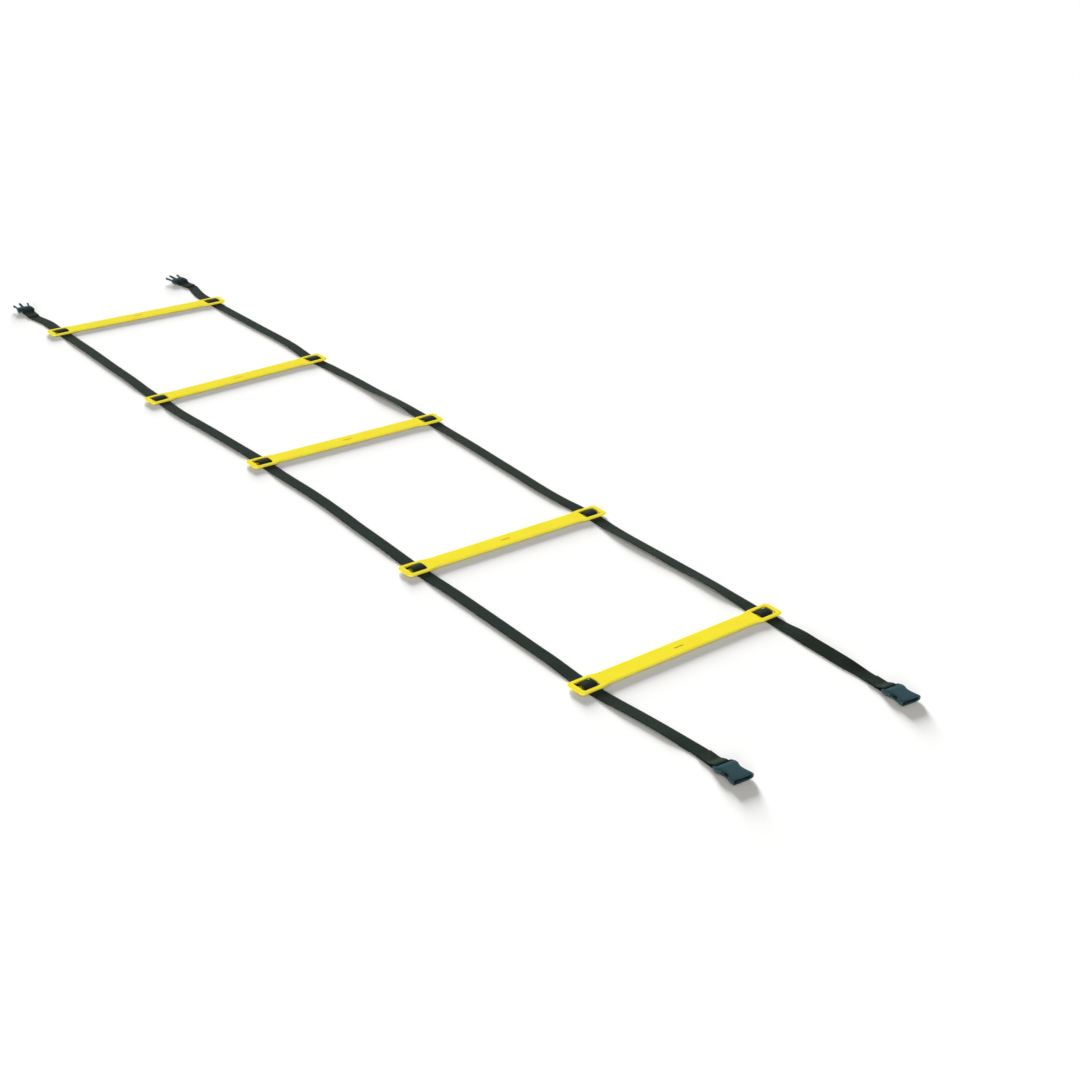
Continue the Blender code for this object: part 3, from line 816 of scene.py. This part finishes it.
def loop_path(bar_height):
    """Middle line of the folded strap end as (y, z) points, evenly spaced."""
    low = strap_thickness / 2
    high = low + strap_thickness + bar_clearance
    radius = bar_radius + bar_clearance + strap_thickness / 2
    bottom, top = bar_height - radius, bar_height + radius
    coarse = [(-loop_reach, low)]
    for n in range(rise_steps + 1):
        share = n / rise_steps
        coarse.append((-loop_rise * (1 - share), low + (bottom - low) * ease_in_out(share)))
    for n in range(1, bar_steps + 1):
        angle = pi * (n / bar_steps - 0.5)
        coarse.append((radius * cos(angle), bar_height + radius * sin(angle)))
    for n in range(1, closing_steps + 1):
        share = n / closing_steps
        coarse.append((-loop_closes * share, top + (high - top) * ease_in_out(share)))
    coarse.append((-sewn_length, high))
    lengths = lengths_along(coarse)
    marks = np.linspace(0, lengths[-1], round(lengths[-1] / loop_spacing) + 1)
    ys, zs = zip(*coarse)
    return list(zip(np.interp(marks, lengths, ys), np.interp(marks, lengths, zs)))


stitch_length = 0.0026
stitch_pitch = 0.0031
stitch_radius = 0.00038
stitch_flatness = 0.7
stitch_segments = 8
stitch_rings = 5
stitch_sink = 0.00005
stitch_underside = 0.0002
stitch_box_ends = (-0.0355, -0.0165)
stitch_box_half = 0.0092
# The thread's edge colour is the painted edge highlight, which the stitches do not take, as they carry no
# edge attribute.
thread = surface_material(
    "sewing_thread", moulded_plastic, {"Strength": 0.35, "Distance": 0.00008},
    {
        "Colour": (0.040, 0.058, 0.048, 1), "Cloud Colour": (0.055, 0.066, 0.046, 1),
        "Scuff Colour": (0.075, 0.085, 0.065, 1), "Edge Highlight Colour": (0.05, 0.06, 0.05, 1),
        "Grain": 4000.0, "Roughness": 0.7, "Scuffs": 0.3,
    },
    {},
)


def stitching_mesh(matrix, levels):
    """Rows of stitches round a box and across it, at each level."""
    half, (low, high) = stitch_box_half, stitch_box_ends
    corners = [Vector((x, y, 0)) for x, y in ((-half, low), (half, low), (half, high), (-half, high))]
    rows = list(zip(corners, corners[1:] + corners[:1]))
    rows += [(corners[0], corners[2]), (corners[1], corners[3])]
    scale = Matrix.Diagonal((stitch_length / 2, stitch_radius, stitch_radius * stitch_flatness, 1))
    shape = bmesh.new()
    for level in levels:
        for start, end in rows:
            count = round((end - start).length / stitch_pitch)
            turn = (end - start).normalized().to_track_quat("X", "Z").to_matrix().to_4x4()
            for n in range(count):
                middle = start.lerp(end, (n + 0.5) / count) + Vector((0, 0, level))
                bmesh.ops.create_uvsphere(
                    shape, u_segments=stitch_segments, v_segments=stitch_rings, radius=1,
                    matrix=matrix @ Matrix.Translation(middle) @ turn @ scale,
                )
    return finished(shape, "stitching", webbing_smooth_deg)


for label, place in strap_places.items():
    for kind, end, number in (("male", "far", 1), ("female", "near", rung_count)):
        pivot = joint_named(f"{label}_{kind}_pivot")
        matrix = loop_matrix(pivot, f"{label}_{kind}_loop")
        section = f"section_{number}"
        name = f"{label}_{kind}_loop_webbing"
        stations = stations_on(loop_path(pivot["pos_m"][2]), matrix, 1)
        piece = place_piece(name, webbing_mesh(name, stations), strap_webbing)
        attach(piece, section)
        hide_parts(f"{label}_{kind}_loop")

        levels = (2 * strap_thickness + bar_clearance - stitch_sink, stitch_underside)
        name = f"{label}_{kind}_stitching"
        stitches = place_piece(name, stitching_mesh(matrix, levels), thread)
        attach(stitches, section)

        away = 1 if end == "far" else -1
        lay = lays[number - 1]
        rings = rings_of(f"{label}_strap_{number}_{end}")
        middle = matrix @ Vector((0, -loop_reach, strap_thickness / 2))
        across = matrix.to_3x3() @ Vector((away, 0, 0))
        last = (middle, across, Vector((0, 0, 1)))
        first = under_rung(place, lay, away * hidden_reach)
        rings = [last] + rings[1:] + [first] if end == "far" else [first] + rings[:-1] + [last]
        stations = stations_between(rings, 0.0, None, ring_spacing)
        piece = strap_piece(f"{label}_webbing_{number}_{end}", stations, label)
        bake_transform(piece)
        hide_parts(f"{label}_strap_{number}_{end}")

# Female buckle halves. Each is a waisted acetal sleeve: at the back the slot and the bar for the
# strap, at the front the mouth of the socket, and a latch window in each side.
# The buckle's edge colour is a painted glint along its sharp edges.
buckle_plastic = surface_material(
    "buckle_plastic", moulded_plastic, {"Strength": 0.35, "Distance": 0.00005},
    {
        "Colour": (0.017, 0.050, 0.066, 1), "Cloud Colour": (0.020, 0.046, 0.056, 1),
        "Scuff Colour": (0.050, 0.078, 0.088, 1), "Edge Highlight Colour": (0.075, 0.105, 0.112, 1),
        "Grain": 2600.0, "Roughness": 0.36, "Scuffs": 0.25,
    },
    {"Specular IOR Level": 0.3},
)
slot_half = 0.015
slot_front = 0.0047
slot_back = -0.006
slot_edge = 0.0009
cut_reach = 0.008
moulding_edge = 0.00035
moulding_edge_segments = 2
moulding_edge_deg = 42
moulding_smooth_deg = 50
# Strength of the painted highlight, a pale glint, on the buckles' sharp edges.
buckle_edge_highlight_strength = 0.8
bar_segments = 32
ring_power = 4.6
ring_count = 64
loft_step = 0.0011
female_rows = (
    # place along Y, middle across, half width, half height
    (-0.0025, 0, 0.0157, 0.0018), (-0.0008, 0, 0.0168, 0.0025), (0.0022, 0, 0.0181, 0.0034),
    (0.0062, 0, 0.0190, 0.0042), (0.0111, 0, 0.0186, 0.0047), (0.0160, 0, 0.0169, 0.00475),
    (0.0214, 0, 0.0158, 0.00475), (0.0267, 0, 0.0159, 0.00475), (0.0338, 0, 0.0171, 0.00475),
    (0.0400, 0, 0.0184, 0.0047), (0.0432, 0, 0.0188, 0.0046), (0.0445, 0, 0.0185, 0.0044),
)
socket_rows = (
    # place along Y, half width
    (0.0160, 0.0133), (0.0263, 0.0133), (0.0315, 0.0154), (0.0405, 0.0160), (0.0435, 0.0161),
    (0.0450, 0.0167), (0.0470, 0.0178),
)
channel_half = 0.0062
channel_low = 0.0021
socket_high = 0.00275
lip_start = 0.0430
lip_spread = 0.5
latch_window_places = (0.0160, 0.0316)
latch_window_height = 0.0039
latch_window_ends = (0.0122, 0.0240)


def smooth_rows(rows, step):
    """Rows by a smooth curve through the given ones, about a step apart in their first number."""
    rows = np.array(rows)
    places = rows[:, 0]
    slopes = np.gradient(rows, places, axis=0)
    marks = np.linspace(places[0], places[-1], round((places[-1] - places[0]) / step) + 1)
    n = np.clip(np.searchsorted(places, marks, side="right") - 1, 0, len(places) - 2)
    span = (places[n + 1] - places[n])[:, None]
    share = (marks - places[n])[:, None] / span
    eased = share * share * (3 - 2 * share)
    swing = slopes[n] * share * (1 - share) ** 2 - slopes[n + 1] * share ** 2 * (1 - share)
    return rows[n] * (1 - eased) + rows[n + 1] * eased + swing * span


def lofted(rows, name):
    """A closed skin along Y through boxy oval sections."""
    shape = bmesh.new()
    last = len(rows) - 1
    bmesh.ops.create_grid(shape, x_segments=ring_count, y_segments=last, size=0.5)
    for vert in shape.verts:
        turn = -tau * (vert.co.x + 0.5)
        y, middle, half_width, half_height = rows[round((vert.co.y + 0.5) * last)]
        x, z = (copysign(abs(side) ** (2 / ring_power), side) for side in (cos(turn), sin(turn)))
        vert.co = (middle + half_width * x, y, half_height * z)
    return closed_skin(shape, name)


def block(low, high, edge):
    """A box between two corners, with rounded edges."""
    shape = bmesh.new()
    low, high = Vector(low), Vector(high)
    bmesh.ops.create_cube(shape, size=1, matrix=Matrix.LocRotScale((low + high) / 2, None, high - low))
    rounded(shape, shape.edges[:], edge)
    return finished(shape, "block")


def bar_mesh():
    """The round bar that the strap end turns on."""
    shape = bmesh.new()
    bmesh.ops.create_cone(
        shape, cap_ends=True, segments=bar_segments, radius1=bar_radius, radius2=bar_radius,
        depth=2 * (slot_half + slot_edge), matrix=Matrix.Rotation(pi / 2, 4, "Y"),
    )
    return finished(shape, "bar")


def moulded(body, cuts, additions):
    """The body with cuts taken out, bars and tongues fused to it, and its edges finely rounded."""
    tools = [("DIFFERENCE", cut) for cut in cuts] + [("UNION", piece) for piece in additions]
    steps = [
        ("BOOLEAN", {"operation": operation, "solver": "EXACT", "object": tool}) for operation, tool in tools
    ]
    steps.append(("BEVEL", {
        "width": moulding_edge, "segments": moulding_edge_segments, "limit_method": "ANGLE",
        "angle_limit": radians(moulding_edge_deg), "use_clamp_overlap": True,
    }))
    mesh = applied(body, steps)
    mesh.shade_smooth()
    mesh.set_sharp_from_angle(angle=radians(moulding_smooth_deg))
    mark_edge_highlights(mesh, buckle_edge_highlight_strength)
    return mesh


def strap_slot():
    return block((-slot_half, slot_back, -cut_reach), (slot_half, slot_front, cut_reach), slot_edge)


def socket_cuts():
    """The low channel across the whole socket, and the two higher ones for the latch arms."""
    lows, highs = [], {-1: [], 1: []}
    for y, half in smooth_rows(socket_rows, loft_step):
        lip = max(y - lip_start, 0) * lip_spread
        lows.append((y, 0, half, channel_low + lip))
        for sign, rows in highs.items():
            rows.append((y, sign * (half + channel_half) / 2, (half - channel_half) / 2, socket_high + lip))
    cuts = [lofted(lows, "low_channel")]
    back, front = latch_window_places
    for sign, rows in highs.items():
        cuts.append(lofted(rows, "arm_channel"))
        left, right = sorted(sign * end for end in latch_window_ends)
        cuts.append(block(
            (left, back, -latch_window_height), (right, front, latch_window_height), slot_edge
        ))
    return cuts


female_body = lofted(smooth_rows(female_rows, loft_step), "female_body")
one_female = moulded(female_body, [strap_slot()] + socket_cuts(), [bar_mesh()])
for label in strap_places:
    mesh = one_female.copy()
    mesh.transform(bar_matrix(joint_named(f"{label}_female_pivot")))
    piece = place_piece(f"{label}_female_moulding", mesh, buckle_plastic)
    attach(piece, f"{label}_female")
    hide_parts(f"{label}_female_buckle")

# Male buckle halves. Each has a frame with the strap's slot and bar, a long tongue that guides it
# into the socket, and two springy arms whose hooked heads snap into the latch windows.
male_lift_deg = 6
male_rows = (
    # place along Y, middle across, half width, half height
    (-0.0030, 0, 0.0177, 0.0021), (-0.0011, 0, 0.0187, 0.0027), (0.0024, 0, 0.0190, 0.0034),
    (0.0070, 0, 0.0186, 0.0039), (0.0120, 0, 0.0174, 0.0040), (0.0160, 0, 0.0162, 0.0037),
)
tongue_rows = (
    (0.0120, 0, 0.0046, 0.0019), (0.0160, 0, 0.0043, 0.0018), (0.0185, 0, 0.0032, 0.0017),
    (0.0240, 0, 0.0028, 0.0017), (0.0360, 0, 0.0025, 0.0017), (0.0415, 0, 0.0019, 0.0015),
    (0.0440, 0, 0.0008, 0.0010),
)
arm_rows = (
    # place along Y, middle across towards the arm's own side, half width, half height
    (0.0150, 0.01380, 0.00200, 0.0024), (0.0163, 0.01380, 0.00180, 0.0023),
    (0.0186, 0.01380, 0.00146, 0.0023), (0.0216, 0.01390, 0.00141, 0.0023),
    (0.0258, 0.01417, 0.00112, 0.0023), (0.0288, 0.01450, 0.00082, 0.0023),
    (0.0296, 0.01457, 0.00076, 0.0023), (0.0299, 0.01570, 0.00185, 0.0023),
    (0.0308, 0.01605, 0.00200, 0.0023), (0.0324, 0.01620, 0.00180, 0.0023),
    (0.0345, 0.01612, 0.00133, 0.0022), (0.0364, 0.01586, 0.00078, 0.0020),
    (0.0375, 0.01575, 0.00030, 0.0016),
)

male_body = lofted(smooth_rows(male_rows, loft_step), "male_body")
tongue = lofted(smooth_rows(tongue_rows, loft_step), "tongue")
one_male = moulded(male_body, [strap_slot()], [bar_mesh(), tongue])
for label, place in strap_places.items():
    matrix = bar_matrix(joint_named(f"{label}_male_pivot")) @ Matrix.Rotation(radians(male_lift_deg), 4, "X")
    mesh = one_male.copy()
    mesh.transform(matrix)
    piece = place_piece(f"{label}_male_moulding", mesh, buckle_plastic)
    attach(piece, f"{label}_male")
    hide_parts(f"{label}_male_buckle")
    for side in ("inner", "outer"):
        sign = (1 if place > 0 else -1) * (1 if side == "outer" else -1)
        rows = [(y, sign * middle, width, height) for y, middle, width, height in arm_rows]
        mesh = moulded(lofted(rows, "arm"), [], [])
        mesh.transform(matrix)
        piece = place_piece(f"{label}_male_{side}_arm_moulding", mesh, buckle_plastic)
        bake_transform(piece)
        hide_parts(f"{label}_male_arm_{side}")
